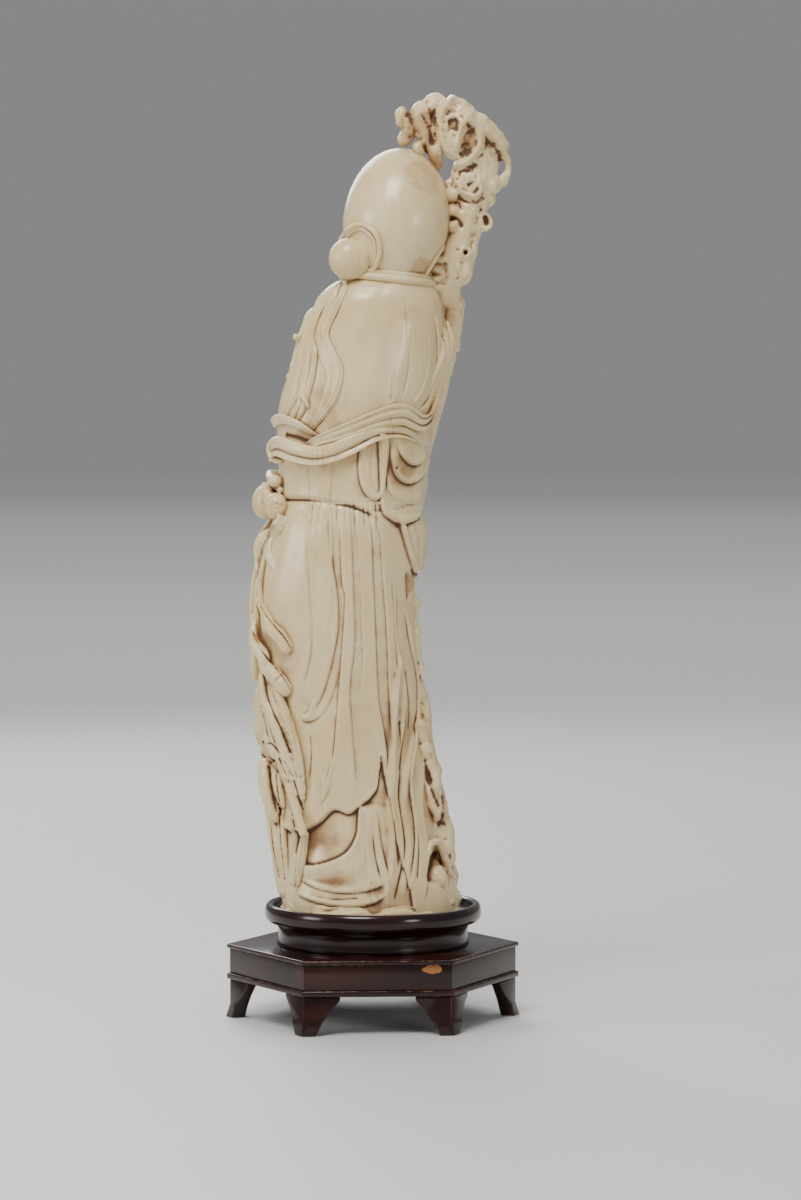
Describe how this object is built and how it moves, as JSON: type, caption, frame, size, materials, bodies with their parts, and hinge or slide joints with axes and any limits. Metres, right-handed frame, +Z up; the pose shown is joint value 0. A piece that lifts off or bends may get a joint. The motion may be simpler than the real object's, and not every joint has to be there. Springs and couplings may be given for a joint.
{
  "type": "carved dignitary figure on a stand",
  "caption": "Tall carved figure of an old dignitary with a gnarled staff, bent like the tusk it was cut from, in the round socket of a dark hexagonal wooden stand; an ornament.",
  "frame": {"origin": "on the floor under the middle of the hexagonal stand", "axes": "+Z up; the figure faces -Y with its back to +Y; +X is towards the figure's own left hand"},
  "size_m": [0.2048, 0.1746, 0.6286],
  "materials": {
    "ivory": "polished, brown in the recesses",
    "rosewood": "lacquered, worn at the edges"
  },
  "bodies": {
    "root": {"ivory_figure": "ivory", "stand_socket": "rosewood", "stand_platform": "rosewood", "stand_foot_1": "rosewood", "stand_foot_2": "rosewood", "stand_foot_3": "rosewood", "stand_foot_4": "rosewood", "stand_foot_5": "rosewood", "stand_foot_6": "rosewood"}
  },
  "joints": []
}
